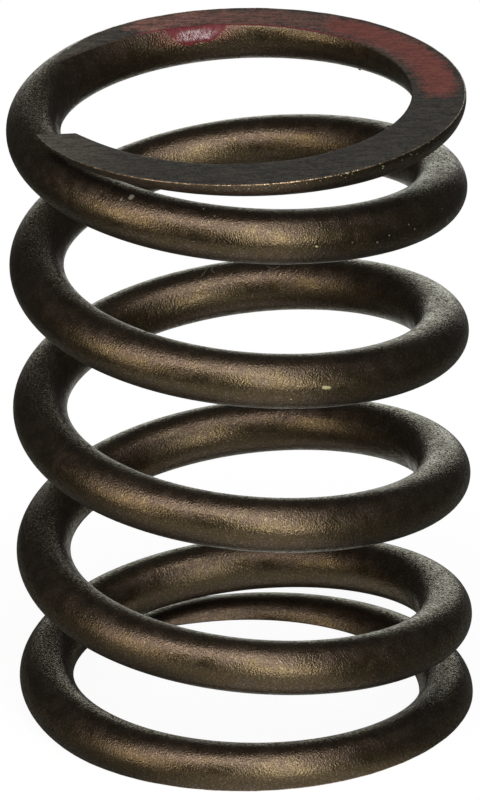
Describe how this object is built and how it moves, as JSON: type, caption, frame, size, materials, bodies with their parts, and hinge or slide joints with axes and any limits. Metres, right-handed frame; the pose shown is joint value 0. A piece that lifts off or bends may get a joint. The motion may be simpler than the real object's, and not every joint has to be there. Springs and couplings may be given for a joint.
{
  "type": "engine valve spring",
  "caption": "Left-hand helical compression spring in dark round wire, with closed ends ground flat and tapered tips; holds an engine's poppet valve shut.",
  "frame": {"origin": "on the coil's axis, in the plane of the ground seat end", "axes": "+Z along the coil's axis, from the seat end to the retainer end; +X to the right and +Y to the back as the picture shows the spring"},
  "size_m": [0.0318, 0.0318, 0.0457],
  "materials": {
    "spring_steel": "shot-peened spring steel under a dark bronze oxide, satin, with ground end faces"
  },
  "bodies": {
    "root": {"valve_spring": "spring_steel"}
  },
  "joints": []
}
